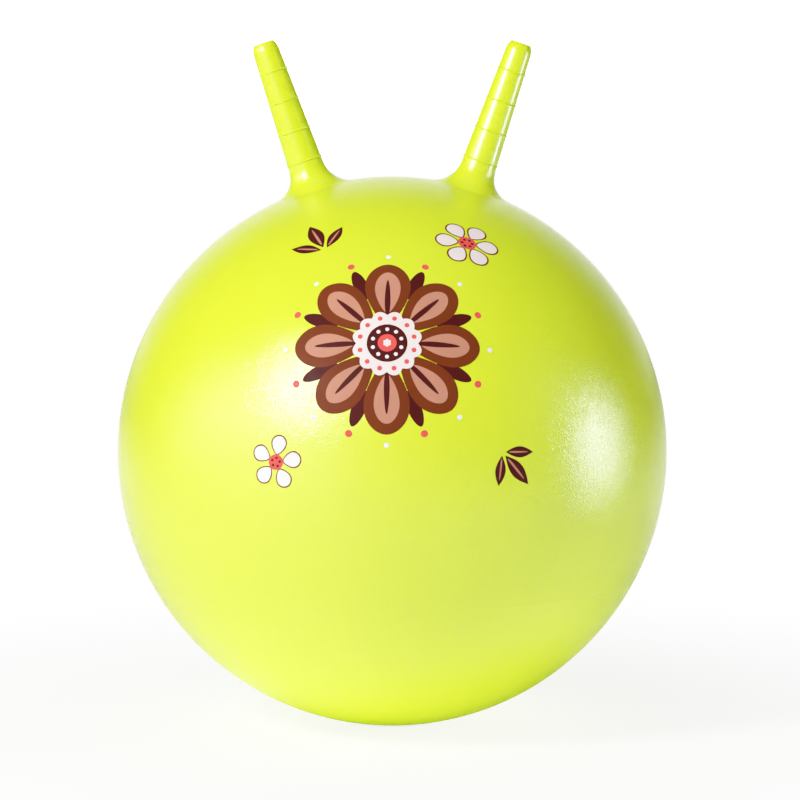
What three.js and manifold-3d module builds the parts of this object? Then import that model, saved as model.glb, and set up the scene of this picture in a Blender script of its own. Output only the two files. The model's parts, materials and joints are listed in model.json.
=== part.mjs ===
// Hopper ball: an inflated soft PVC ball with two flexible grip horns on top and a filling valve at the back.
// Millimetres, +Z up. The origin is on the floor under the middle of the ball, and the front faces -Y.
import * as THREE from 'three';
import { mergeVertices } from 'three/addons/utils/BufferGeometryUtils.js';
import Module from 'manifold-3d';

const wasm = await Module();
wasm.setup();

// Ball
const ballDiameter = 450;
const skinWall = 1.5;
const restPatchRadius = 28; // the flat spot that the ball's weight presses on the floor

// Horns, with heights measured along the horn from the ball's surface
const hornPolarAngle = 16.6; // degrees from the top of the ball to the middle of a horn's foot
const hornLean = 2.35; // degrees that a horn leans out past the ball's own radius
const hornLength = 124.5;
const hornFootRadius = 15.1; // the horn's cone, carried down to the ball's surface
const hornShoulderRadius = 10.3; // the same cone where the tip's chamfer begins
const hornWall = 3.2;
const tipFlatRadius = 8.2;
const tipChamferHeight = 5.2;
const tipWall = 4;

// Grip rings moulded on each horn
const ringCount = 4;
const firstRingAboveFlexLine = 4; // from the horn's lower edge to the middle of the first ring
const lastRingBelowTip = 24.5;
const ringWidth = 1.6;
const ringProud = 0.5;

// Flared root under each horn
const flareRadius = 22; // the hollow curve from the ball's surface into the horn
const rootSkirt = 6; // how far the root runs on along the ball past the foot of its flare
const flexLineLift = 0.7; // the root's straight stretch between its flare and the flex line

// Valve
const valveDrop = 20; // degrees that the valve lies below the ball's widest line, at the back
const valveBoreRadius = 4.6;
const valveBoreLength = 17;
const valveTubeWall = 2.9;
const valveRimWidth = 2.6; // the seat's ring that shows round the stopper's head
const valveFlangeLap = 6; // how far the flange reaches under the skin
const valveFlangeThickness = 2;
const valvePadMargin = 3; // how far the skin's thick pad reaches past the flange
const valvePadExtra = 2.7; // how much thicker than the skin the pad is, at its middle

// Stopper
const plugHeadRadius = 9.2;
const plugHeadHeight = 2.6;
const plugHeadCrown = 0.7; // the rise of the head's domed top
const plugShankLength = 18;
const plugShankRadius = 3.6;
const plugTipRadius = 2.9;
const plugTipTaper = 2.2;
const plugRibCount = 3;
const plugRibWidth = 1.4;

const clearance = 0.3; // between pieces that touch or are welded
const cutReach = 60; // how far the skin's cutters run inside and outside the ball

// Steps round a full turn and along the curves
const ballSegments = 48;
const ballSteps = 12; // from the floor patch to the widest line, and from there to the top
const hornSegments = 32;
const flareSteps = 7;
const valveSegments = 32;
const shortArcSteps = 2;
const domeSteps = 3;

const ballRadius = ballDiameter / 2;
const ballCentreHeight = Math.sqrt(ballRadius ** 2 - restPatchRadius ** 2);
const hornAngle = THREE.MathUtils.degToRad(hornPolarAngle);
const leanAngle = THREE.MathUtils.degToRad(hornLean);
const hornTaper = (hornFootRadius - hornShoulderRadius) / (hornLength - tipChamferHeight);
const hornBoreFootRadius = hornFootRadius - hornWall;

const hornPvc = { color: '#d7ec3a', roughness: 0.38, metalness: 0 };
const skinPvc = { color: '#dcf03c', roughness: 0.45, metalness: 0 };
const seatPvc = { color: '#cfe43a', roughness: 0.5, metalness: 0 };
const plugPvc = { color: '#f2f2ec', roughness: 0.4, metalness: 0 };

// Points on an arc in the half-plane of a lathe profile, both ends included
function arc(centreX, centreY, radius, fromAngle, toAngle, steps) {
  const points = [];
  for (let i = 0; i <= steps; i += 1) {
    const angle = THREE.MathUtils.lerp(fromAngle, toAngle, i / steps);
    points.push(new THREE.Vector2(centreX + radius * Math.cos(angle), centreY + radius * Math.sin(angle)));
  }
  return points;
}

// A profile of [radius, height] turned about Z
function turned(points, segments) {
  return new THREE.LatheGeometry(points, segments).rotateX(Math.PI / 2);
}

function meshOf(name, geometry, finish) {
  const mesh = new THREE.Mesh(geometry, new THREE.MeshStandardMaterial(finish));
  mesh.name = name;
  return mesh;
}

// A closed geometry as a solid that can be cut
function solidOf(geometry) {
  geometry.deleteAttribute('normal');
  geometry.deleteAttribute('uv');
  const merged = mergeVertices(geometry);
  const triangles = [];
  for (let i = 0; i < merged.index.count; i += 3) {
    const corners = [merged.index.getX(i), merged.index.getX(i + 1), merged.index.getX(i + 2)];
    if (new Set(corners).size === 3) {
      triangles.push(...corners);
    }
  }
  const vertProperties = new Float32Array(merged.attributes.position.array);
  const triVerts = new Uint32Array(triangles);
  return new wasm.Manifold(new wasm.Mesh({ numProp: 3, vertProperties, triVerts }));
}

function geometryOf(solid) {
  const { vertProperties, triVerts } = solid.getMesh();
  const geometry = new THREE.BufferGeometry();
  geometry.setAttribute('position', new THREE.BufferAttribute(vertProperties, 3));
  geometry.setIndex(new THREE.BufferAttribute(triVerts, 1));
  geometry.computeVertexNormals();
  return geometry;
}

// Where a ball of this radius lies below the ball's outer surface, at a distance from a radial axis
function ballDip(radius, distance) {
  return Math.sqrt(radius ** 2 - distance ** 2) - ballRadius;
}

// The hollow arc that touches both a ball and a horn's cone, centred at (r, h) from the horn's foot
function flareBetween(sphereRadius, footRadius, radius) {
  const slant = Math.hypot(1, hornTaper);
  const reach = footRadius + radius * slant;
  const halfTerm = ballRadius - reach * hornTaper;
  const rest = reach ** 2 + ballRadius ** 2 - (sphereRadius + radius) ** 2;
  const h = (Math.sqrt(halfTerm ** 2 - slant ** 2 * rest) - halfTerm) / slant ** 2;
  const r = reach - hornTaper * h;
  const ballAngle = Math.atan2(r, h + ballRadius); // from the root's axis to where the arc leaves the ball
  const startAngle = 1.5 * Math.PI - ballAngle;
  const endAngle = Math.PI + Math.atan(hornTaper);
  return { ballAngle, points: arc(r, h, radius, startAngle, endAngle, flareSteps) };
}

// The point of a horn's cone at a distance from the horn's foot
function conePoint(footRadius, distance) {
  const slant = 1 + hornTaper ** 2;
  const along = footRadius * hornTaper;
  const h = (along + Math.sqrt(along ** 2 - slant * (footRadius ** 2 - distance ** 2))) / slant;
  return new THREE.Vector2(footRadius - hornTaper * h, h);
}

// The round edge between a horn's outside and its bore, on a sphere about the horn's foot
function flexEdge(distance) {
  const outer = conePoint(hornFootRadius, distance).angle();
  const inner = conePoint(hornBoreFootRadius, distance).angle();
  return arc(0, 0, distance, outer, inner, shortArcSteps);
}

const outerFlare = flareBetween(ballRadius, hornFootRadius, flareRadius);
const innerFlare = flareBetween(ballRadius - skinWall, hornBoreFootRadius, flareRadius + skinWall);
const rootEdgeAngle = outerFlare.ballAngle + rootSkirt / ballRadius;
const flexRadius = outerFlare.points.at(-1).length() + flexLineLift;
const hornFoot = new THREE.Vector3(0, 0, ballRadius).applyAxisAngle(new THREE.Vector3(0, 1, 0), hornAngle);
hornFoot.z += ballCentreHeight;

const valveTurn = THREE.MathUtils.degToRad(90 + valveDrop);
const valveHeadSeat = plugHeadHeight + clearance; // depth of the recess that the stopper's head sits in
const valveRecessRadius = plugHeadRadius + clearance;
const valveNeckRadius = valveRecessRadius + valveRimWidth;
const valveFlangeRadius = valveNeckRadius + valveFlangeLap;
const valveTubeRadius = valveBoreRadius + valveTubeWall;
const valveTubeEnd = -valveHeadSeat - valveBoreLength;
const valvePadRadius = valveFlangeRadius + valvePadMargin;
const valvePadDepth = skinWall + valvePadExtra;

// A closed ball about its own centre, flat where it meets a level below that centre
function flattenedBall(radius, levelBelowCentre) {
  const patchAngle = -Math.asin(levelBelowCentre / radius);
  const profile = [
    new THREE.Vector2(0, -levelBelowCentre),
    ...arc(0, 0, radius, patchAngle, 0, ballSteps),
    ...arc(0, 0, radius, 0, Math.PI / 2, ballSteps).slice(1, -1),
    new THREE.Vector2(0, radius),
  ];
  return turned(profile, ballSegments);
}

// A cone from the ball's centre that opens the skin for a horn's root
function rootHole(side) {
  const spread = Math.tan(rootEdgeAngle + clearance / ballRadius);
  const near = ballRadius - cutReach;
  const far = ballRadius + cutReach;
  const profile = [
    new THREE.Vector2(0, near),
    new THREE.Vector2(near * spread, near),
    new THREE.Vector2(far * spread, far),
    new THREE.Vector2(0, far),
  ];
  return solidOf(turned(profile, hornSegments).rotateY(side * hornAngle));
}

// A round bar along the valve's axis, from a depth under the ball's surface to well outside the ball
function valveBar(radius, depth) {
  const length = depth + cutReach;
  const bar = new THREE.CylinderGeometry(radius, radius, length, valveSegments);
  bar.rotateX(Math.PI / 2);
  bar.translate(0, 0, ballRadius - depth + length / 2);
  return solidOf(bar.rotateX(-valveTurn));
}

function ballSkin() {
  const outside = solidOf(flattenedBall(ballRadius, ballCentreHeight));
  const inside = solidOf(flattenedBall(ballRadius - skinWall, ballCentreHeight - skinWall));
  const valvePad = outside.intersect(valveBar(valvePadRadius, valvePadDepth));
  const valveHole = valveBar(valveNeckRadius + clearance, cutReach);
  const shell = outside.subtract(inside).add(valvePad);
  const opened = shell.subtract(rootHole(1)).subtract(rootHole(-1)).subtract(valveHole);
  const mesh = meshOf('ball_skin', geometryOf(opened), skinPvc);
  mesh.position.z = ballCentreHeight;
  return mesh;
}

// Bends a root from square on the ball at its foot to the horn's lean at its flex line
function leanOut(geometry, side, fullLeanHeight) {
  const position = geometry.attributes.position;
  const leanAxis = new THREE.Vector3(0, 1, 0);
  const point = new THREE.Vector3();
  for (let i = 0; i < position.count; i += 1) {
    point.fromBufferAttribute(position, i);
    const share = THREE.MathUtils.smoothstep(point.z, 0, fullLeanHeight);
    point.applyAxisAngle(leanAxis, side * leanAngle * share);
    position.setXYZ(i, point.x, point.y, point.z);
  }
  geometry.computeVertexNormals();
  return geometry;
}

function hornRoot(name, side) {
  const edgeRadius = ballRadius * Math.sin(rootEdgeAngle);
  const insideRadius = ballRadius - skinWall;
  const insideEdgeRadius = insideRadius * Math.sin(rootEdgeAngle);
  const edge = new THREE.Vector2(edgeRadius, ballDip(ballRadius, edgeRadius));
  const flexPoints = flexEdge(flexRadius);
  const profile = [
    edge,
    ...outerFlare.points,
    ...flexPoints,
    ...innerFlare.points.toReversed(),
    new THREE.Vector2(insideEdgeRadius, ballDip(insideRadius, insideEdgeRadius)),
    edge.clone(),
  ];
  const geometry = leanOut(turned(profile, hornSegments), side, flexPoints[0].y);
  const mesh = meshOf(name, geometry, hornPvc);
  mesh.position.set(side * hornFoot.x, 0, hornFoot.z);
  mesh.rotation.y = side * hornAngle;
  return mesh;
}

// One thin raised ring round the horn's cone
function gripRing(height) {
  const coneAt = (h) => hornFootRadius - hornTaper * h;
  const low = height - ringWidth / 2;
  const high = height + ringWidth / 2;
  const crest = coneAt(height) + ringProud;
  return [
    new THREE.Vector2(coneAt(low), low),
    new THREE.Vector2(crest, height - ringWidth / 4),
    new THREE.Vector2(crest, height + ringWidth / 4),
    new THREE.Vector2(coneAt(high), high),
  ];
}

function horn(name, side) {
  const edge = flexEdge(flexRadius + clearance).toReversed();
  const boreTop = hornLength - tipWall;
  const firstRing = edge.at(-1).y + firstRingAboveFlexLine;
  const lastRing = hornLength - lastRingBelowTip;
  const profile = [
    new THREE.Vector2(0, boreTop),
    new THREE.Vector2(hornBoreFootRadius - hornTaper * boreTop, boreTop),
    ...edge,
  ];
  for (let i = 0; i < ringCount; i += 1) {
    profile.push(...gripRing(THREE.MathUtils.lerp(firstRing, lastRing, i / (ringCount - 1))));
  }
  profile.push(new THREE.Vector2(hornShoulderRadius, hornLength - tipChamferHeight));
  profile.push(new THREE.Vector2(tipFlatRadius, hornLength));
  profile.push(new THREE.Vector2(0, hornLength));
  const mesh = meshOf(name, turned(profile, hornSegments), hornPvc);
  mesh.position.set(side * hornFoot.x, 0, hornFoot.z);
  mesh.rotation.y = side * (hornAngle + leanAngle);
  return mesh;
}

// Heights in the valve are measured outwards from the ball's surface, along the valve's own axis
function valveSeat() {
  const flangeTop = -valvePadDepth - clearance;
  const flangeBottom = flangeTop - valveFlangeThickness;
  const start = new THREE.Vector2(valveTubeRadius, valveTubeEnd);
  const profile = [
    start,
    new THREE.Vector2(valveTubeRadius, flangeBottom),
    new THREE.Vector2(valveFlangeRadius, flangeBottom),
    new THREE.Vector2(valveFlangeRadius, flangeTop),
    new THREE.Vector2(valveNeckRadius, flangeTop),
    new THREE.Vector2(valveNeckRadius, ballDip(ballRadius, valveNeckRadius)),
    new THREE.Vector2(valveRecessRadius, ballDip(ballRadius, valveRecessRadius)),
    new THREE.Vector2(valveRecessRadius, -valveHeadSeat),
    new THREE.Vector2(valveBoreRadius, -valveHeadSeat),
    new THREE.Vector2(valveBoreRadius, valveTubeEnd),
    start.clone(),
  ];
  return meshOf('valve_seat', turned(profile, valveSegments), seatPvc);
}

function valvePlug() {
  const headBottom = -valveHeadSeat + clearance;
  const shankEnd = headBottom - plugShankLength;
  const ribRadius = valveBoreRadius - clearance;
  const ribSpacing = (plugShankLength - plugTipTaper) / (plugRibCount + 1);
  const profile = [
    new THREE.Vector2(0, shankEnd),
    new THREE.Vector2(plugTipRadius, shankEnd),
    new THREE.Vector2(plugShankRadius, shankEnd + plugTipTaper),
  ];
  for (let i = 1; i <= plugRibCount; i += 1) {
    const ribHeight = shankEnd + plugTipTaper + i * ribSpacing;
    profile.push(new THREE.Vector2(plugShankRadius, ribHeight - plugRibWidth / 2));
    profile.push(new THREE.Vector2(ribRadius, ribHeight + plugRibWidth / 2));
    profile.push(new THREE.Vector2(plugShankRadius, ribHeight + plugRibWidth / 2));
  }
  profile.push(new THREE.Vector2(plugShankRadius, headBottom));
  profile.push(new THREE.Vector2(plugHeadRadius, headBottom));
  const headTop = headBottom + plugHeadHeight;
  const domeRadius = (plugHeadRadius ** 2 + plugHeadCrown ** 2) / (2 * plugHeadCrown);
  const domeEdge = Math.acos(plugHeadRadius / domeRadius);
  profile.push(...arc(0, headTop - domeRadius, domeRadius, domeEdge, Math.PI / 2, domeSteps).slice(0, -1));
  profile.push(new THREE.Vector2(0, headTop));
  return meshOf('valve_plug', turned(profile, valveSegments), plugPvc);
}

function valve() {
  const group = new THREE.Group();
  group.rotation.x = -valveTurn;
  group.position.set(0, 0, ballRadius).applyAxisAngle(new THREE.Vector3(1, 0, 0), -valveTurn);
  group.position.z += ballCentreHeight;
  group.add(valveSeat(), valvePlug());
  return group;
}

const hopperBall = new THREE.Group();
hopperBall.name = 'hopper_ball';
hopperBall.add(ballSkin());
hopperBall.add(hornRoot('left_horn_root', -1), hornRoot('right_horn_root', 1));
hopperBall.add(horn('left_horn', -1), horn('right_horn', 1));
hopperBall.add(valve());

export default hopperBall;
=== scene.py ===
import json
import math

import bpy
from mathutils import Euler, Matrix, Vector


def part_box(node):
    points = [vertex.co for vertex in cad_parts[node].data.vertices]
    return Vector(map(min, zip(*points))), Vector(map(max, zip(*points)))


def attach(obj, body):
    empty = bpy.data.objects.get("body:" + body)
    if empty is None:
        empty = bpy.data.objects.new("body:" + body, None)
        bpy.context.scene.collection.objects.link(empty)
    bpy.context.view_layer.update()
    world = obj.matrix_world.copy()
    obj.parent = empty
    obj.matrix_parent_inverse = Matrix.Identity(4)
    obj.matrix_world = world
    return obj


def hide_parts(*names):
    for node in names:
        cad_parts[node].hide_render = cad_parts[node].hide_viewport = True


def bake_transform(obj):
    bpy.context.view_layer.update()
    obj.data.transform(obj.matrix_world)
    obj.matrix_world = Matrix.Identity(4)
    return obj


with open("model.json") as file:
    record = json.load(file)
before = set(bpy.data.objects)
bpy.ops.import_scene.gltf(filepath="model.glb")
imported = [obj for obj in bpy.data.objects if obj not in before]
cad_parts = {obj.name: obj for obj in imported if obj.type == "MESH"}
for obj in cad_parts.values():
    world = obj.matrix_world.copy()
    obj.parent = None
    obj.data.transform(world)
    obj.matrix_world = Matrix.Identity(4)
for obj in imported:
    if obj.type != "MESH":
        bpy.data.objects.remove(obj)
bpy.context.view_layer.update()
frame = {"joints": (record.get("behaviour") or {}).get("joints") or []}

mm = 0.001
skinLow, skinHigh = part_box("ball_skin")
ballRadius = (skinHigh.x - skinLow.x) / 2
ballCentre = Vector((0, 0, skinHigh.z - ballRadius))
joints = {joint["name"]: joint for joint in frame["joints"]}
rootLow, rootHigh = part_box("right_horn_root")
seamAngle = math.asin((rootHigh.y - rootLow.y) / 2 / ballRadius)  # where a horn's skirt ends on the ball
mergeGap = 0.004 * mm  # points closer than this become one
cutTolerance = 0.001 * mm  # points this close to a cut count as on it
cornerSteps = 5  # in the arc of a rounded corner
print("frame loaded, ball", round(2 * ballRadius / mm), "mm across")


# Working helpers

def clearSelection():
    if bpy.context.object and bpy.context.object.mode != "OBJECT":
        bpy.ops.object.mode_set(mode="OBJECT")
    bpy.ops.object.select_all(action="DESELECT")


def named(name):
    piece = bpy.context.object
    piece.name = name
    piece.data.name = name
    return piece


def applyModifiers(piece):
    for modifier in list(piece.modifiers):
        bpy.ops.object.modifier_apply(modifier=modifier.name)


def putInPlace(piece, location, rotation=(0, 0, 0)):
    piece.location = location
    piece.rotation_euler = rotation
    bpy.ops.object.transform_apply(location=True, rotation=True, scale=True)


def smoothBelow(degrees):
    bpy.ops.object.shade_smooth_by_angle(angle=math.radians(degrees))


def smoothstep(value, low, high):
    share = min(max((value - low) / (high - low), 0), 1)
    return share * share * (3 - 2 * share)


def arc(centre, radius, start, end, steps):
    angles = [start + (end - start) * i / steps for i in range(steps + 1)]
    return [(centre[0] + radius * math.cos(a), centre[1] + radius * math.sin(a)) for a in angles]


# Rounds a corner of a profile with an arc that touches both of its sides
def roundedCorner(before, corner, after, radius):
    point = Vector(corner)
    back = (Vector(before) - point).normalized()
    ahead = (Vector(after) - point).normalized()
    half = back.angle(ahead) / 2
    centre = point + (back + ahead).normalized() * radius / math.sin(half)
    start = point + back * radius / math.tan(half) - centre
    end = point + ahead * radius / math.tan(half) - centre
    startAngle = math.atan2(start.y, start.x)
    turn = math.atan2(start.x * end.y - start.y * end.x, start.dot(end))
    return arc(centre, radius, startAngle, startAngle + turn, cornerSteps)


# Goes into edit mode with only the wanted faces or points selected
def selectWhere(piece, kind, wanted):
    bpy.ops.object.mode_set(mode="EDIT")
    bpy.ops.mesh.select_mode(type=kind)
    bpy.ops.mesh.select_all(action="DESELECT")
    bpy.ops.object.mode_set(mode="OBJECT")
    for part in piece.data.polygons if kind == "FACE" else piece.data.vertices:
        part.select = wanted(part)
    bpy.ops.object.mode_set(mode="EDIT")


# In edit mode, cuts every face along a plane and can clear what lies beyond it
def cutAcross(point, normal, opened=False):
    bpy.ops.mesh.select_all(action="SELECT")
    bpy.ops.mesh.bisect(plane_co=point, plane_no=normal, clear_outer=opened, threshold=cutTolerance)


# Turns every face outwards and leaves edit mode
def faceOutwards():
    bpy.ops.mesh.select_all(action="SELECT")
    bpy.ops.mesh.normals_make_consistent(inside=False)
    bpy.ops.object.mode_set(mode="OBJECT")


# Puts every point of a piece made round the origin at one distance from it
def castToSphere(piece, radius):
    cast = piece.modifiers.new("round", "CAST")
    cast.factor = 1
    cast.use_radius_as_size = False
    cast.size = radius
    applyModifiers(piece)


# Gives a sheet its wall, inwards from the faces that show
def addWall(piece, thickness):
    wall = piece.modifiers.new("wall", "SOLIDIFY")
    wall.thickness = thickness
    wall.offset = -1
    return wall


# One point drawn out along a profile of (radius, height), then spun about Z
def turnProfile(name, profile, segments):
    clearSelection()
    bpy.ops.mesh.primitive_plane_add(size=mm)
    piece = named(name)
    bpy.ops.object.mode_set(mode="EDIT")
    bpy.ops.mesh.select_mode(type="VERT")
    bpy.ops.mesh.select_all(action="SELECT")
    bpy.ops.mesh.merge(type="CENTER")
    bpy.ops.transform.translate(value=(profile[0][0], 0, profile[0][1]))
    for (r0, h0), (r1, h1) in zip(profile, profile[1:]):
        bpy.ops.mesh.extrude_vertices_move(TRANSFORM_OT_translate={"value": (r1 - r0, 0, h1 - h0)})
    bpy.ops.mesh.select_all(action="SELECT")
    bpy.ops.mesh.spin(steps=segments, angle=2 * math.pi, center=(0, 0, 0), axis=(0, 0, 1))
    bpy.ops.mesh.select_all(action="SELECT")
    bpy.ops.mesh.remove_doubles(threshold=mergeGap)
    faceOutwards()
    return piece


# Camera, matched to the photograph

photoFrame = {
    "lens": 143.2,
    "sensor": 36,
    "distance": 2.6,  # in front of the ball's centre
    "height": 0.53,
    "aim": (0.0063, 0, 0.2652),
}


def setCamera(s):
    clearSelection()
    place = Vector((s["aim"][0], -s["distance"], s["height"]))
    look = (Vector(s["aim"]) - place).to_track_quat("-Z", "Y").to_euler()
    bpy.ops.object.camera_add(location=place, rotation=look)
    camera = bpy.context.object
    camera.data.lens = s["lens"]
    camera.data.sensor_width = s["sensor"]
    bpy.context.scene.camera = camera
    print("camera set")


setCamera(photoFrame)


# Materials

def newMaterial(name):
    material = bpy.data.materials.new(name)
    material.use_nodes = True
    nodes = material.node_tree.nodes
    return material, nodes, material.node_tree.links, nodes["Principled BSDF"]


def noiseAt(nodes, links, coordinates, scale, detail):
    noise = nodes.new("ShaderNodeTexNoise")
    noise.inputs["Scale"].default_value = scale
    noise.inputs["Detail"].default_value = detail
    links.new(coordinates, noise.inputs["Vector"])
    return noise.outputs["Fac"]


def spread(nodes, links, value, fromRange, toRange, shape="LINEAR"):
    ranged = nodes.new("ShaderNodeMapRange")
    ranged.interpolation_type = shape
    ranged.inputs["From Min"].default_value, ranged.inputs["From Max"].default_value = fromRange
    ranged.inputs["To Min"].default_value, ranged.inputs["To Max"].default_value = toRange
    links.new(value, ranged.inputs["Value"])
    return ranged.outputs["Result"]


def joined(nodes, links, operation, first, second):
    sums = nodes.new("ShaderNodeMath")
    sums.operation = operation
    links.new(first, sums.inputs[0])
    links.new(second, sums.inputs[1])
    return sums.outputs["Value"]


pvcNoise = {  # each range of noise is spread over the whole change of tone or gloss
    "driftDetail": 2,
    "driftRange": (0.35, 0.65),
    "glossDetail": 3,
    "glossRange": (0.3, 0.7),
}


# Soft PVC: two close tones drifting over the surface, uneven gloss and a fine moulded grain
def softPvc(name, s):
    material, nodes, links, shader = newMaterial(name)
    place = nodes.new("ShaderNodeTexCoord").outputs["Object"]
    drift = noiseAt(nodes, links, place, s["driftScale"], pvcNoise["driftDetail"])
    tones = nodes.new("ShaderNodeMix")
    tones.data_type = "RGBA"
    tones.inputs["A"].default_value = (*s["tone"], 1)
    tones.inputs["B"].default_value = (*s["otherTone"], 1)
    links.new(spread(nodes, links, drift, pvcNoise["driftRange"], (0, 1)), tones.inputs["Factor"])
    colour = tones.outputs["Result"]
    cloud = noiseAt(nodes, links, place, s["glossScale"], pvcNoise["glossDetail"])
    roughness = spread(nodes, links, cloud, pvcNoise["glossRange"], s["roughness"])
    grain = noiseAt(nodes, links, place, s["grainScale"], s["grainDetail"])
    bump = nodes.new("ShaderNodeBump")
    bump.inputs["Distance"].default_value = s["grainDepth"]
    bump.inputs["Strength"].default_value = s["grainStrength"]
    links.new(grain, bump.inputs["Height"])
    if "smoothAbove" in s:
        split = nodes.new("ShaderNodeSeparateXYZ")
        links.new(place, split.inputs["Vector"])
        height = split.outputs["Z"]
        polish = spread(nodes, links, height, s["smoothAbove"], (1, s["smoothRoughness"]))
        roughness = joined(nodes, links, "MULTIPLY", roughness, polish)
        grainFade = (s["grainStrength"], s["smoothGrain"])
        links.new(spread(nodes, links, height, s["smoothAbove"], grainFade), bump.inputs["Strength"])
        tinted = nodes.new("ShaderNodeMix")
        tinted.data_type = "RGBA"
        tinted.blend_type = "MULTIPLY"
        tinted.inputs["B"].default_value = (*s["smoothTint"], 1)
        links.new(colour, tinted.inputs["A"])
        links.new(spread(nodes, links, height, s["smoothAbove"], (0, 1)), tinted.inputs["Factor"])
        colour = tinted.outputs["Result"]
    links.new(colour, shader.inputs["Base Color"])
    links.new(roughness, shader.inputs["Roughness"])
    links.new(bump.outputs["Normal"], shader.inputs["Normal"])
    shader.inputs["Specular IOR Level"].default_value = s["shine"]
    return material


limePvc = softPvc("lime soft PVC", {
    "tone": (0.713, 0.874, 0.034),
    "otherTone": (0.693, 0.854, 0.031),
    "driftScale": 9,
    "roughness": (0.18, 0.23),
    "glossScale": 60,
    "grainScale": 1300,
    "grainDetail": 0,
    "grainDepth": 0.25 * mm,
    "grainStrength": 0.8,
    "smoothAbove": (0.440, 0.470),  # above this height the horns are moulded smoother than the ball
    "smoothGrain": 0.08,
    "smoothRoughness": 1.35,  # times the ball's own
    "smoothTint": (0.97, 0.98, 0.4),  # and they are a deeper lime
    "shine": 1.0,
})
seatPvc = softPvc("lime valve PVC", {
    "tone": (0.55, 0.70, 0.012),
    "otherTone": (0.52, 0.67, 0.010),
    "driftScale": 60,
    "roughness": (0.40, 0.52),
    "glossScale": 300,
    "grainScale": 1500,
    "grainDetail": 3,
    "grainDepth": 0.08 * mm,
    "grainStrength": 0.4,
    "shine": 0.5,
})
plugPvc = softPvc("white stopper PVC", {
    "tone": (0.82, 0.82, 0.77),
    "otherTone": (0.78, 0.78, 0.72),
    "driftScale": 90,
    "roughness": (0.36, 0.48),
    "glossScale": 300,
    "grainScale": 1500,
    "grainDetail": 3,
    "grainDepth": 0.06 * mm,
    "grainStrength": 0.35,
    "shine": 0.5,
})

inkTones = {
    "brown": (0.168, 0.033, 0.0075),
    "maroon": (0.072, 0.007, 0.007),
    "tan": (0.515, 0.228, 0.15),
    "pink": (0.85, 0.73, 0.71),
    "coral": (0.80, 0.09, 0.08),
    "white": (0.86, 0.86, 0.86),
}
inkThinning = 0.94  # the darker of an ink's two tones, as a share of the other


# Printing inks are duller than the skin, and its grain is shallower in them
def printInk(name, tone):
    return softPvc(name + " ink", {
        "tone": tone,
        "otherTone": tuple(inkThinning * part for part in tone),
        "driftScale": 40,
        "roughness": (0.44, 0.54),
        "glossScale": 110,
        "grainScale": 1150,
        "grainDetail": 1,
        "grainDepth": 0.12 * mm,
        "grainStrength": 0.4,
        "shine": 0.1,
    })


inks = {name: printInk(name, tone) for name, tone in inkTones.items()}
print("materials made")


# Ball skin: a round shell, open under the horns and at the valve, flat where it rests

skinSet = {
    "cuts": 63,  # across each side of the cube that the ball is rounded from
    "seamCuts": 3,  # further cuts in the faces round an opening
    "seamFine": 1.25,  # which reach out to this many times the opening's angle
    "seamBand": 1.5 * mm,  # a narrow ring of faces round each opening
    "wall": 1.5 * mm,
    "valveHole": 12.4 * mm,
    "partingHeight": 123.6 * mm,  # of the fine mould line, above the floor
    "partingWidth": 0.9 * mm,
    "partingProud": 0.12 * mm,
    "partingReach": 0.1 * mm,  # points this close to the line's middle are raised
    "smoothAngle": 30,
}


def cutOpenings(skin, s):
    valveAxis = Vector(joints["valve_plug_pull"]["axis"])
    openings = [(valveAxis, math.asin(s["valveHole"] / ballRadius))]
    for side in ("left", "right"):
        foot = Vector(joints[side + "_horn_flex"]["pos_m"]) - ballCentre
        openings.append((foot.normalized(), seamAngle))
    for axis, angle in openings:
        selectWhere(skin, "FACE", lambda face: face.center.angle(axis) < s["seamFine"] * angle)
        bpy.ops.mesh.subdivide(number_cuts=s["seamCuts"])
    bpy.ops.object.mode_set(mode="OBJECT")
    castToSphere(skin, ballRadius)
    bpy.ops.object.mode_set(mode="EDIT")
    band = s["seamBand"] / ballRadius
    for axis, angle in openings:
        cutAcross(axis * ballRadius * math.cos(angle + band), axis)
        cutAcross(axis * ballRadius * math.cos(angle), axis, opened=True)


def raiseMouldLine(skin, s):
    lineHeight = s["partingHeight"] - ballCentre.z
    for share in (-0.5, 0, 0.5):
        cutAcross((0, 0, lineHeight + share * s["partingWidth"]), (0, 0, 1))
    bpy.ops.object.mode_set(mode="OBJECT")
    castToSphere(skin, ballRadius)
    selectWhere(skin, "VERT", lambda point: abs(point.co.z - lineHeight) < s["partingReach"])
    bpy.ops.transform.shrink_fatten(value=s["partingProud"])


def pressFlat(skin):
    floorLevel = (0, 0, -ballCentre.z)
    cutAcross(floorLevel, (0, 0, 1))
    bpy.ops.object.mode_set(mode="OBJECT")
    selectWhere(skin, "VERT", lambda point: point.co.z < floorLevel[2])
    bpy.ops.transform.resize(value=(1, 1, 0), center_override=floorLevel)


def makeSkin(s):
    clearSelection()
    bpy.ops.mesh.primitive_cube_add(size=2 * ballRadius)
    skin = named("ball_skin_shell")
    bpy.ops.object.mode_set(mode="EDIT")
    bpy.ops.mesh.select_all(action="SELECT")
    bpy.ops.mesh.subdivide(number_cuts=s["cuts"])
    bpy.ops.object.mode_set(mode="OBJECT")
    castToSphere(skin, ballRadius)
    cutOpenings(skin, s)
    raiseMouldLine(skin, s)
    pressFlat(skin)
    faceOutwards()
    addWall(skin, s["wall"])
    applyModifiers(skin)
    smoothBelow(s["smoothAngle"])
    putInPlace(skin, ballCentre)
    skin.data.materials.append(limePvc)
    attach(skin, "ball")
    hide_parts("ball_skin")
    print("ball skin made,", len(skin.data.polygons), "faces")


makeSkin(skinSet)


# Horns: each one a hollow tapered grip that flares into the ball

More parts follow.
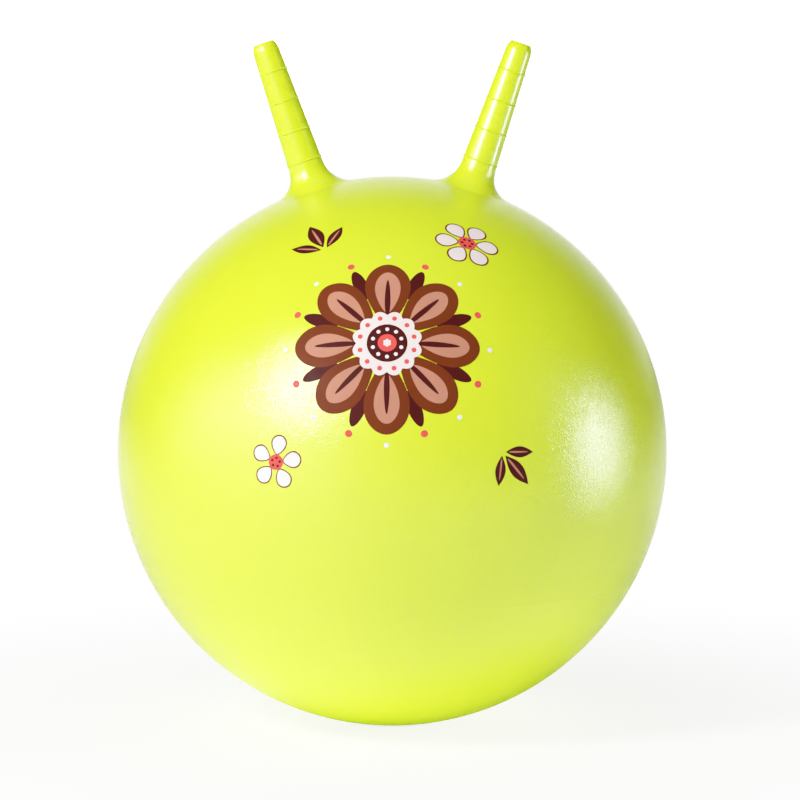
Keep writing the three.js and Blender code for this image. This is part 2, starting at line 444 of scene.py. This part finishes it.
hornSet = {
    "length": 124.5 * mm,
    "footRadius": 15.4 * mm,  # the cone carried down to the ball's surface
    "shoulderRadius": 10.65 * mm,
    "tipFlatRadius": 8.4 * mm,
    "chamferHeight": 5.2 * mm,
    "shoulderRound": 12 * mm,
    "rimRound": 2 * mm,
    "wall": 3.2 * mm,
    "wallGrows": (-2 * mm, 12 * mm),  # the heights where the ball's wall becomes the horn's
    "flareRadius": 22 * mm,
    "flareSteps": 20,
    "seamBand": 0.8 * mm,
    "ringCount": 4,
    "firstRing": 23.4 * mm,
    "lastRing": 100 * mm,
    "ringWidth": 1.6 * mm,
    "ringProud": 0.75 * mm,
    "ringSteps": 4,  # on each side of a ring's crest
    "gapSteps": 6,  # from one ring to the next
    "leanHeight": 19 * mm,  # where the horn has its full lean
    "bendHeight": 40 * mm,  # the height up to which the real horn bends when pulled
    "segments": 96,
    "smoothAngle": 40,
}


# From the skirt on the ball to the middle of the tip, with heights from the ball's surface
def hornProfile(s):
    taper = (s["footRadius"] - s["shoulderRadius"]) / (s["length"] - s["chamferHeight"])
    # The flare is an arc that touches the cone and the ball, and its centre's height solves a quadratic
    slant = math.hypot(1, taper)
    reach = s["footRadius"] + s["flareRadius"] * slant
    halfTerm = ballRadius - reach * taper
    rest = reach ** 2 + ballRadius ** 2 - (ballRadius + s["flareRadius"]) ** 2
    flareHeight = (math.sqrt(halfTerm ** 2 - slant ** 2 * rest) - halfTerm) / slant ** 2
    flareCentre = (reach - taper * flareHeight, flareHeight)
    leaves = math.atan2(flareCentre[0], flareCentre[1] + ballRadius)
    onBall = [seamAngle, seamAngle - s["seamBand"] / ballRadius, (seamAngle + leaves) / 2]
    profile = [(ballRadius * math.sin(a), ballRadius * (math.cos(a) - 1)) for a in onBall]
    flareEnd = math.pi + math.atan(taper)
    profile += arc(flareCentre, s["flareRadius"], 1.5 * math.pi - leaves, flareEnd, s["flareSteps"])

    def coneAt(height):
        return s["footRadius"] - taper * height

    ringGap = (s["lastRing"] - s["firstRing"]) / (s["ringCount"] - 1)
    for i in range(s["ringCount"]):
        middle = s["firstRing"] + i * ringGap
        for j in range(-s["ringSteps"], s["ringSteps"] + 1):
            share = j / s["ringSteps"]
            height = middle + share / 2 * s["ringWidth"]
            profile.append((coneAt(height) + s["ringProud"] * (1 - share ** 2), height))
        if i < s["ringCount"] - 1:
            between = [middle + k * ringGap / s["gapSteps"] for k in range(1, s["gapSteps"])]
            profile += [(coneAt(height), height) for height in between]
    shoulder = (s["shoulderRadius"], s["length"] - s["chamferHeight"])
    rim = (s["tipFlatRadius"], s["length"])
    aboveRings = (profile[-1][1] + shoulder[1]) / 2
    profile.append((coneAt(aboveRings), aboveRings))
    profile += roundedCorner(profile[-1], shoulder, rim, s["shoulderRound"])
    profile += roundedCorner(shoulder, rim, (0, s["length"]), s["rimRound"])
    profile.append((profile[-1][0] / 2, s["length"]))
    profile.append((0, s["length"]))
    return profile


def makeHorn(side, s):
    joint = joints[side + "_horn_flex"]
    foot = Vector(joint["pos_m"])
    hornAxis = Vector((-joint["axis"][2], 0, joint["axis"][0]))  # square to the hinge
    radial = (foot - ballCentre).normalized()
    polar = math.atan2(radial.x, radial.z)
    lean = math.atan2(hornAxis.x, hornAxis.z) - polar
    horn = turnProfile(side + "_horn_moulding", hornProfile(s), s["segments"])
    thick = horn.vertex_groups.new(name="thick wall")
    for point in horn.data.vertices:
        thick.add([point.index], smoothstep(point.co.z, *s["wallGrows"]), "REPLACE")
        turn = lean * smoothstep(point.co.z, 0, s["leanHeight"])
        point.co.rotate(Euler((0, turn, 0)))
    wall = addWall(horn, s["wall"])
    wall.vertex_group = thick.name
    wall.thickness_vertex_group = skinSet["wall"] / s["wall"]
    applyModifiers(horn)
    smoothBelow(s["smoothAngle"])
    putInPlace(horn, foot, (0, polar, 0))
    horn.data.materials.append(limePvc)
    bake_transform(horn)
    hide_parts(side + "_horn", side + "_horn_root")
    print(side, "horn made,", len(horn.data.polygons), "faces")


for side in ("left", "right"):
    makeHorn(side, hornSet)


# Filling valve at the back: a seat moulded into the skin and a stopper that pulls out

valveSet = {
    "boreRadius": 4.6 * mm,
    "tubeRadius": 7.5 * mm,
    "tubeEnd": -19.9 * mm,  # heights are measured outwards from the ball's surface
    "flangeRadius": 18.1 * mm,
    "flangeTop": -4.5 * mm,
    "flangeBottom": -6.5 * mm,
    "neckRadius": 12.1 * mm,
    "lipRadius": 14.8 * mm,  # a low lip that laps over the skin
    "lipProud": 0.7 * mm,
    "recessRadius": 9.5 * mm,
    "recessDepth": 2.9 * mm,
    "edgeRound": 0.5 * mm,
    "segments": 72,
    "smoothAngle": 35,
}
stopperSet = {
    "headRadius": 9.2 * mm,
    "headBottom": -2.6 * mm,
    "headEdge": -0.75 * mm,
    "headCrown": 0.55 * mm,
    "headFootRound": 0.5 * mm,  # where the shank meets the head
    "headUnderRound": 0.3 * mm,
    "edgeRound": 0.7 * mm,
    "crownOuter": 7.6 * mm,  # points that the crown passes through outside and inside its groove
    "crownInner": (4 * mm, 2.7 * mm, 1.4 * mm, 0),
    "grooveRadius": 5.6 * mm,  # a shallow moulded ring in the head
    "grooveWidth": 1.3 * mm,
    "grooveDepth": 0.3 * mm,
    "grooveRound": 0.3 * mm,
    "grooveEdgeRound": 0.2 * mm,
    "shankRadius": 3.6 * mm,
    "shankLength": 18 * mm,
    "tipRadius": 2.9 * mm,
    "tipTaper": 2.2 * mm,
    "tipRound": 0.6 * mm,
    "taperRound": 1 * mm,
    "ribRadius": 4.3 * mm,
    "ribWidth": 1.4 * mm,
    "ribCount": 3,
    "ribRounds": (0.3 * mm, 0.25 * mm, 0.2 * mm),  # at a rib's lower foot, its edge and its upper foot
    "segments": 72,
    "smoothAngle": 35,
}


# Draws a profile through its corners, each rounded by its own radius
def roundedProfile(corners):
    profile = []
    for i, (point, radius) in enumerate(corners):
        if radius == 0 or i in (0, len(corners) - 1):
            profile.append(point)
        else:
            profile += roundedCorner(corners[i - 1][0], point, corners[i + 1][0], radius)
    return profile


# Height of the ball's surface at a distance from the valve's axis
def surfaceAt(distance):
    return math.sqrt(ballRadius ** 2 - distance ** 2) - ballRadius


def placeOnValve(piece):
    axis = Vector(joints["valve_plug_pull"]["axis"])
    turn = Vector((0, 0, 1)).rotation_difference(axis).to_euler()
    putInPlace(piece, ballCentre + axis * ballRadius, turn)


def makeValveSeat(s):
    soft = s["edgeRound"]
    start = (s["tubeRadius"], s["tubeEnd"])
    profile = roundedProfile([
        (start, 0),
        ((s["tubeRadius"], s["flangeBottom"]), soft),
        ((s["flangeRadius"], s["flangeBottom"]), soft),
        ((s["flangeRadius"], s["flangeTop"]), soft),
        ((s["neckRadius"], s["flangeTop"]), 0),
        ((s["neckRadius"], surfaceAt(s["neckRadius"])), 0),
        ((s["lipRadius"], surfaceAt(s["lipRadius"])), 0),
        ((s["lipRadius"] - soft, s["lipProud"] + surfaceAt(s["lipRadius"])), soft / 2),
        ((s["recessRadius"], s["lipProud"] + surfaceAt(s["recessRadius"])), soft),
        ((s["recessRadius"], -s["recessDepth"]), soft / 2),
        ((s["boreRadius"], -s["recessDepth"]), soft / 2),
        ((s["boreRadius"], s["tubeEnd"]), 0),
        (start, 0),
    ])
    seat = turnProfile("valve_seat_moulding", profile, s["segments"])
    smoothBelow(s["smoothAngle"])
    placeOnValve(seat)
    seat.data.materials.append(seatPvc)
    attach(seat, "ball")
    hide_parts("valve_seat")
    print("valve seat made")


# From the middle of the shank's end to the middle of the head
def stopperCorners(s):
    shankEnd = s["headBottom"] - s["shankLength"]
    taperEnd = shankEnd + s["tipTaper"]
    corners = [((0, shankEnd), 0), ((s["tipRadius"], shankEnd), s["tipRound"])]
    corners.append(((s["shankRadius"], taperEnd), s["taperRound"]))
    ribGap = (s["shankLength"] - s["tipTaper"]) / (s["ribCount"] + 1)
    lowerFoot, edge, upperFoot = s["ribRounds"]
    for i in range(1, s["ribCount"] + 1):
        ribMiddle = taperEnd + i * ribGap
        ribTop = ribMiddle + s["ribWidth"] / 2
        corners.append(((s["shankRadius"], ribMiddle - s["ribWidth"] / 2), lowerFoot))
        corners.append(((s["ribRadius"], ribTop), edge))
        corners.append(((s["shankRadius"], ribTop), upperFoot))
    corners.append(((s["shankRadius"], s["headBottom"]), s["headFootRound"]))
    corners.append(((s["headRadius"], s["headBottom"]), s["headUnderRound"]))
    corners.append(((s["headRadius"], s["headEdge"]), s["edgeRound"]))

    def crownAt(radius):
        return s["headEdge"] + s["headCrown"] * (1 - (radius / s["headRadius"]) ** 2)

    groove, halfGroove = s["grooveRadius"], s["grooveWidth"] / 2
    corners.append(((s["crownOuter"], crownAt(s["crownOuter"])), 0))
    corners.append(((groove + halfGroove, crownAt(groove)), s["grooveEdgeRound"]))
    corners.append(((groove, crownAt(groove) - s["grooveDepth"]), s["grooveRound"]))
    corners.append(((groove - halfGroove, crownAt(groove)), s["grooveEdgeRound"]))
    corners += [((radius, crownAt(radius)), 0) for radius in s["crownInner"]]
    return corners


def makeStopper(s):
    stopper = turnProfile("valve_stopper", roundedProfile(stopperCorners(s)), s["segments"])
    smoothBelow(s["smoothAngle"])
    placeOnValve(stopper)
    stopper.data.materials.append(plugPvc)
    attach(stopper, "valve_plug")
    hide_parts("valve_plug")
    print("valve stopper made")


makeValveSeat(valveSet)
makeStopper(stopperSet)


# Print on the front: a plain flower design, one thin film for each ink

printSet = {
    "lift": 0.06 * mm,  # the lowest film's face above the skin
    "layerStep": 0.05 * mm,  # each later film lies on the one below
    "film": 0.05 * mm,
    "ringStep": 4 * mm,  # widest ring of faces in a film
    "leastRings": 2,
    "smoothAngle": 30,
}
inkPieces = {ink: [] for ink in inks}


def discOutline(radius, points):
    turns = [2 * math.pi * i / points for i in range(points)]
    return [(radius * math.cos(a), radius * math.sin(a)) for a in turns]


def scallopOutline(radius, lobes, depth, pointsEach=10):
    count = lobes * pointsEach
    turns = [2 * math.pi * i / count for i in range(count)]
    reach = [radius - depth * (1 - abs(math.sin(lobes * a / 2))) for a in turns]
    return [(r * math.cos(a), r * math.sin(a)) for r, a in zip(reach, turns)]


# A petal with its base at the bottom, widest at a share of its length
def petalOutline(length, width, widest, bluntness=0.5, steps=24):
    power = math.log(0.5) / math.log(widest)
    along = [(1 - math.cos(math.pi * i / steps)) / 2 for i in range(steps + 1)]
    half = [width / 2 * abs(math.sin(math.pi * t ** power)) ** bluntness for t in along]
    right = [(w, length * (t - 0.5)) for w, t in zip(half, along)]
    left = [(-x, y) for x, y in reversed(right[1:-1])]
    return right + left


# A flat film in rings round its middle, copied round its motif and pressed on the ball
def printFilm(ink, outline, motif, layer, out=0, copies=1, turn=0):
    clearSelection()
    bpy.ops.mesh.primitive_circle_add(vertices=len(outline), radius=mm)
    film = bpy.context.object
    for point, (x, y) in zip(film.data.vertices, outline):
        point.co = (x, y, 0)
    widest = max(math.hypot(x, y) for x, y in outline)
    rings = max(printSet["leastRings"], math.ceil(widest / printSet["ringStep"]))
    bpy.ops.object.mode_set(mode="EDIT")
    bpy.ops.mesh.select_mode(type="VERT")
    bpy.ops.mesh.select_all(action="SELECT")
    for ring in range(rings - 1, 0, -1):
        share = ring / (ring + 1)
        bpy.ops.mesh.extrude_edges_move()
        bpy.ops.transform.resize(value=(share, share, 1), center_override=(0, 0, 0))
    bpy.ops.mesh.extrude_edges_move()
    bpy.ops.mesh.merge(type="CENTER")
    bpy.ops.mesh.select_all(action="SELECT")
    bpy.ops.transform.translate(value=(0, out, 0))
    if copies > 1:
        sweep = 2 * math.pi * (copies - 1) / copies
        bpy.ops.mesh.spin(steps=copies - 1, dupli=True, angle=sweep, center=(0, 0, 0), axis=(0, 0, 1))
    faceOutwards()
    latitude, longitude = math.radians(motif["latitude"]), math.radians(motif["longitude"])
    tangent = Euler((math.pi / 2 - latitude, 0, longitude)).to_matrix()
    spun = tangent @ Euler((0, 0, math.radians(motif["turn"] + turn))).to_matrix()
    putInPlace(film, tangent @ Vector((0, 0, ballRadius)), spun.to_euler())
    castToSphere(film, ballRadius + printSet["lift"] + layer * printSet["layerStep"])
    inkPieces[ink].append(film)


# Petals are given as length, width and where they are widest, discs as radius and points,
# scallops as radius, lobes and depth, and "out" is the distance from the flower's middle
flowerSet = {
    "longitude": -1,
    "latitude": 28,
    "turn": 0,
    "petals": 8,
    "sepal": (31 * mm, 11 * mm, 0.5),
    "sepalOut": 57 * mm,
    "petal": (60 * mm, 36 * mm, 0.62),
    "petalOut": 44 * mm,
    "innerPetal": (40 * mm, 20 * mm, 0.6),
    "innerPetalOut": 45 * mm,
    "vein": (34 * mm, 4.4 * mm, 0.4),
    "veinOut": 40 * mm,
    "frill": (27 * mm, 12, 3.4 * mm),
    "frillDots": 12,
    "frillDot": (1.9 * mm, 24),
    "frillDotOut": 21.2 * mm,
    "disc": (15.5 * mm, 48),
    "discDots": 10,
    "discDot": (1.5 * mm, 24),
    "discDotOut": 11.3 * mm,
    "button": (7.2 * mm, 48),
    "buttonFrill": (3.2 * mm, 6, 0.7 * mm),
    "sepalDot": (3 * mm, 32),
    "sepalDotOut": 79 * mm,
    "petalDot": (2.1 * mm, 32),
    "petalDotOut": 83 * mm,
}


def printFlower(s):
    petals = s["petals"]
    between = 180 / petals  # turns a ring of films into the gaps of the petals
    printFilm("maroon", petalOutline(*s["sepal"]), s, 0, s["sepalOut"], petals, between)
    printFilm("brown", petalOutline(*s["petal"]), s, 1, s["petalOut"], petals)
    printFilm("tan", petalOutline(*s["innerPetal"]), s, 2, s["innerPetalOut"], petals)
    printFilm("maroon", petalOutline(*s["vein"]), s, 3, s["veinOut"], petals)
    printFilm("pink", scallopOutline(*s["frill"]), s, 4)
    frillTurn = 180 / s["frillDots"]
    printFilm("coral", discOutline(*s["frillDot"]), s, 5, s["frillDotOut"], s["frillDots"], frillTurn)
    printFilm("maroon", discOutline(*s["disc"]), s, 5)
    printFilm("white", discOutline(*s["discDot"]), s, 6, s["discDotOut"], s["discDots"])
    printFilm("coral", discOutline(*s["button"]), s, 6)
    printFilm("pink", scallopOutline(*s["buttonFrill"]), s, 7)
    printFilm("coral", discOutline(*s["sepalDot"]), s, 0, s["sepalDotOut"], petals, between)
    printFilm("white", discOutline(*s["petalDot"]), s, 0, s["petalDotOut"], petals)


# Lengths are shares of a blossom's size
blossomSet = {
    "rim": (0.72, 0.6),
    "petal": (0.62, 0.5),
    "widest": 0.6,
    "petalOut": 0.6,
    "button": 0.27,
    "buttonPoints": 48,
    "dot": 0.045,
    "dotPoints": 20,
    "dotOut": 0.15,
}
blossoms = (
    {"longitude": 25, "latitude": 52, "turn": 12, "size": 27 * mm, "petals": 6, "ink": "pink"},
    {"longitude": -23, "latitude": 4, "turn": -8, "size": 22 * mm, "petals": 5, "ink": "white"},
)


def printBlossom(motif, s):
    size, petals = motif["size"], motif["petals"]
    for layer, (part, ink) in enumerate((("rim", "brown"), ("petal", motif["ink"]))):
        length, width = s[part]
        outline = petalOutline(length * size, width * size, s["widest"])
        printFilm(ink, outline, motif, layer, s["petalOut"] * size, petals)
    printFilm("coral", discOutline(s["button"] * size, s["buttonPoints"]), motif, 2)
    dot = discOutline(s["dot"] * size, s["dotPoints"])
    printFilm("maroon", dot, motif, 3, s["dotOut"] * size, petals)


# Lengths are shares of a leaf's length, and each leaf is a turn and a share of the sprig's size
sprigSet = {
    "leaves": ((0, 1), (48, 0.78), (-48, 0.78)),
    "leafWidth": 0.36,
    "leafWidest": 0.5,
    "leafBluntness": 1,
    "leafOut": 0.62,
    "veinLength": 0.7,
    "veinWidth": 0.06,
    "veinWidest": 0.4,
    "veinOut": 0.58,
}
sprigs = (
    {"longitude": -21, "latitude": 50, "turn": 38, "size": 34 * mm},
    {"longitude": 22, "latitude": 6, "turn": -140, "size": 30 * mm},
)


def printSprig(motif, s):
    size = motif["size"]
    for turn, share in s["leaves"]:
        leafWidth = s["leafWidth"] * share * size
        leaf = petalOutline(share * size, leafWidth, s["leafWidest"], s["leafBluntness"])
        veinLength, veinWidth = s["veinLength"] * share * size, s["veinWidth"] * share * size
        vein = petalOutline(veinLength, veinWidth, s["veinWidest"])
        printFilm("maroon", leaf, motif, 0, s["leafOut"] * share * size, turn=turn)
        printFilm("tan", vein, motif, 1, s["veinOut"] * share * size, turn=turn)


printFlower(flowerSet)
for motif in blossoms:
    printBlossom(motif, blossomSet)
for motif in sprigs:
    printSprig(motif, sprigSet)


def finishInk(ink, films):
    clearSelection()
    for film in films:
        film.select_set(True)
    bpy.context.view_layer.objects.active = films[0]
    if len(films) > 1:
        bpy.ops.object.join()
    layer = named("print_" + ink)
    addWall(layer, printSet["film"])
    applyModifiers(layer)
    smoothBelow(printSet["smoothAngle"])
    putInPlace(layer, ballCentre)
    layer.data.materials.append(inks[ink])
    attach(layer, "ball")
    print("print in", ink, "made,", len(layer.data.polygons), "faces")


for ink, films in inkPieces.items():
    finishInk(ink, films)


# Studio: a pale floor that runs out into white, soft white patches around it, and eight soft lamps

studio = {
    "floorSize": 30,
    "floorTone": (0.92, 0.92, 0.92),
    "floorRoughness": 0.9,
    "shadeCentre": (0.05, 0, 0),  # a painted shadow of the ball on the floor, dark only in glossy rays, for the ball to reflect
    "shadeEdge": (0.09, 0.2),
    "shadeDepth": 0.9,
    "backCentre": (0, 2.5, 0),  # a painted glow on the floor far behind the ball, white only in glossy rays, for the ball's rim to reflect
    "backEdge": (1.6, 2.4),
    "paintedGlowLevel": 0.6,
    "fadeCentre": (0, 0, 0),
    "fadeEdge": (0.2, 0.7),  # how far from the ball the floor runs out into white
    "fadeLevel": 0.7,  # the white in the floor close to the ball
    "surroundings": {  # each one a soft-edged round patch of white
        "window": {"azimuth": -60, "elevation": -30, "edge": (0.4, 0.9), "level": 3.1},
        "front": {"azimuth": 0, "elevation": -30, "edge": (0.42, 0.95), "level": 0.33},
        "wall": {"azimuth": 180, "elevation": 0, "edge": (0.775, 0.975), "level": 1.2},
    },
    "colourLamps": {  # these light the colour without a highlight; the last is light thrown up by the floor
        "main": {"azimuth": -43, "elevation": 34, "distance": 2.2, "size": (0.52, 0.52), "power": 40},
        "top": {"azimuth": 0, "elevation": 75, "distance": 2.2, "size": (1.5, 1.5), "power": 8},
        "fill": {"azimuth": 70, "elevation": 20, "distance": 2.2, "size": (1.0, 1.0), "power": 18},
        "rear": {"azimuth": 185, "elevation": 6, "distance": 2.2, "size": (1.4, 1.2), "power": 24},
        "bounce": {"azimuth": 0, "elevation": -90, "distance": 0.222, "size": (0.5, 0.5), "power": 0.48},
    },
    "highlightLamps": {  # these make highlights without lighting the colour
        "glint": {"azimuth": -40, "elevation": 29, "distance": 2.2, "size": (0.5, 0.36), "power": 38},
        "side": {"azimuth": -70, "elevation": 20, "distance": 2.2, "size": (1.1, 0.35), "power": 3.8},
        "strip": {"azimuth": 85.5, "elevation": 2.5, "distance": 1.0, "size": (0.15, 0.38), "power": 3.8},
    },
    "lampTints": {"strip": (0.88, 0.95, 1.1)},  # slightly cool, where the others are white
    "shoulder": (  # bright tones run softly into white
        (0.6, 0.6),
        (0.85, 0.787),
        (1.05, 0.89),
        (1.2, 0.95),
    ),
    "white": 1.35,  # the brightness that shows as full white
}


# Azimuth is measured from the front towards +X
def directionOf(place):
    azimuth, elevation = math.radians(place["azimuth"]), math.radians(place["elevation"])
    level = math.cos(elevation)
    return Vector((math.sin(azimuth) * level, -math.cos(azimuth) * level, math.sin(elevation)))


def makeFloor(s):
    clearSelection()
    bpy.ops.mesh.primitive_plane_add(size=s["floorSize"])
    floor = named("floor")
    material, nodes, links, shader = newMaterial("pale floor")
    shader.inputs["Base Color"].default_value = (*s["floorTone"], 1)
    shader.inputs["Roughness"].default_value = s["floorRoughness"]
    place = nodes.new("ShaderNodeTexCoord").outputs["Object"]
    rays = nodes.new("ShaderNodeLightPath").outputs
    emission = nodes.new("ShaderNodeEmission")
    emission.inputs["Strength"].default_value = s["white"]
    white = emission.outputs["Emission"]

    # Mixes the second shader, or black, into the first round a centre, for one kind of ray
    def mixedBy(ray, area, levels, first, second=None):
        far = nodes.new("ShaderNodeVectorMath")
        far.operation = "DISTANCE"
        far.inputs[1].default_value = s[area + "Centre"]
        links.new(place, far.inputs[0])
        share = spread(nodes, links, far.outputs["Value"], s[area + "Edge"], levels, "SMOOTHSTEP")
        mixed = nodes.new("ShaderNodeMixShader")
        links.new(joined(nodes, links, "MULTIPLY", share, rays[ray]), mixed.inputs["Fac"])
        links.new(first, mixed.inputs[1])
        if second:
            links.new(second, mixed.inputs[2])
        return mixed.outputs["Shader"]

    # Painted shadow: the floor turns dark round the ball's foot, in glossy rays only
    withPaintedShadow = mixedBy("Is Glossy Ray", "shade", (s["shadeDepth"], 0), shader.outputs["BSDF"])
    # Painted glow: white light mixed into the floor far behind the ball, in glossy rays only
    withPaintedGlow = mixedBy("Is Glossy Ray", "back", (s["paintedGlowLevel"], 0), withPaintedShadow, white)
    veiled = mixedBy("Is Camera Ray", "fade", (s["fadeLevel"], 1), withPaintedGlow, white)
    links.new(veiled, nodes["Material Output"].inputs["Surface"])
    floor.data.materials.append(material)


def makeSurroundings(s):
    world = bpy.data.worlds.new("white studio")
    world.use_nodes = True
    nodes, links = world.node_tree.nodes, world.node_tree.links
    background = nodes["Background"]
    background.inputs["Color"].default_value = (1, 1, 1, 1)
    looking = nodes.new("ShaderNodeTexCoord").outputs["Generated"]
    seen = nodes.new("ShaderNodeLightPath").outputs["Is Camera Ray"]
    strength = spread(nodes, links, seen, (0, 1), (0, s["white"]))
    for patch in s["surroundings"].values():
        towards = nodes.new("ShaderNodeVectorMath")
        towards.operation = "DOT_PRODUCT"
        towards.inputs[1].default_value = directionOf(patch)
        links.new(looking, towards.inputs[0])
        near = towards.outputs["Value"]
        level = spread(nodes, links, near, patch["edge"], (0, patch["level"]), "SMOOTHSTEP")
        strength = joined(nodes, links, "ADD", strength, level)
    links.new(strength, background.inputs["Strength"])
    bpy.context.scene.world = world


def makeLamps(s, group, lightsColour):
    for name, light in s[group].items():
        direction = directionOf(light)
        place = ballCentre + direction * light["distance"]
        look = (-direction).to_track_quat("-Z", "Y").to_euler()
        bpy.ops.object.light_add(type="AREA", location=place, rotation=look)
        lamp = bpy.context.object
        lamp.name = name + "_light"
        lamp.data.shape = "RECTANGLE"
        lamp.data.size, lamp.data.size_y = light["size"]
        lamp.data.energy = light["power"]
        lamp.data.color = s["lampTints"].get(name, (1, 1, 1))
        lamp.visible_diffuse = lightsColour
        lamp.visible_glossy = not lightsColour


def setShoulder(s):
    settings = bpy.context.scene.view_settings
    settings.view_transform = "Standard"
    settings.use_curve_mapping = True
    mapping = settings.curve_mapping
    mapping.white_level = (s["white"], s["white"], s["white"])
    mapping.extend = "HORIZONTAL"
    allColours = mapping.curves[3]  # after one curve each for red, green and blue
    for bright, shown in s["shoulder"]:
        allColours.points.new(bright / s["white"], shown)
    mapping.update()


makeFloor(studio)
makeSurroundings(studio)
makeLamps(studio, "colourLamps", True)
makeLamps(studio, "highlightLamps", False)
setShoulder(studio)
print("studio set")

clearSelection()
